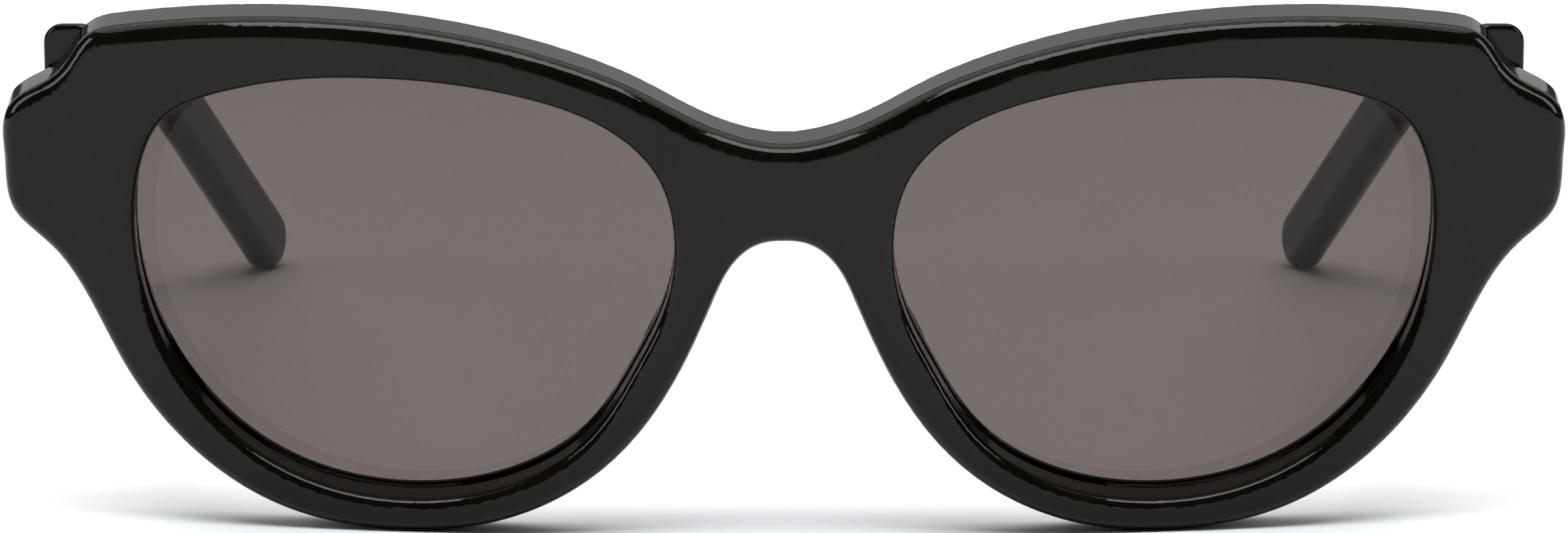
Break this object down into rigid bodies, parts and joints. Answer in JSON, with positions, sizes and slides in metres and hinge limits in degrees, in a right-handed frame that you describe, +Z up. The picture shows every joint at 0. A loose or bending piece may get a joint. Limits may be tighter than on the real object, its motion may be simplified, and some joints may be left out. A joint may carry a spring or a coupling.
{
  "type": "cat eye sunglasses",
  "caption": "Full-rim acetate cat eye sunglasses with tinted lenses in grooves, folding temples on screw hinges and bonded nose pads.",
  "frame": {"origin": "bottom centre of the bounding box, on the surface that the open glasses stand on", "axes": "+X towards the wearer's left, +Y back along the open temples, +Z up; the front faces -Y"},
  "size_m": [0.1452, 0.149, 0.0494],
  "materials": {
    "frame_acetate": "polished black cellulose acetate",
    "temple_acetate": "polished black cellulose acetate",
    "pad_acetate": "polished black cellulose acetate",
    "tinted_lens": "grey tinted, polished",
    "hinge_metal": "satin nickel silver",
    "screw_steel": "turned stainless steel",
    "core_metal": "drawn nickel silver wire"
  },
  "bodies": {
    "front": {"front_frame": "frame_acetate", "lens_left": "tinted_lens", "lens_right": "tinted_lens", "nose_pad_left": "pad_acetate", "nose_pad_right": "pad_acetate", "front_hinge_left": "hinge_metal", "front_hinge_right": "hinge_metal", "hinge_screw_left": "screw_steel", "hinge_screw_right": "screw_steel"},
    "temple_left": {"temple_left": "temple_acetate", "temple_hinge_left": "hinge_metal", "core_wire_left": "core_metal"},
    "temple_right": {"temple_right": "temple_acetate", "temple_hinge_right": "hinge_metal", "core_wire_right": "core_metal"}
  },
  "joints": [
    {"name": "left_temple_fold", "type": "hinge", "parent": "front", "child": "temple_left", "pos_m": [0.0619, -0.05609, 0.03484], "axis": [0, 0.0628, 0.998], "range_deg": [0, 86]},
    {"name": "right_temple_fold", "type": "hinge", "parent": "front", "child": "temple_right", "pos_m": [-0.0619, -0.05609, 0.03484], "axis": [0, -0.0628, -0.998], "range_deg": [0, 65]}
  ]
}
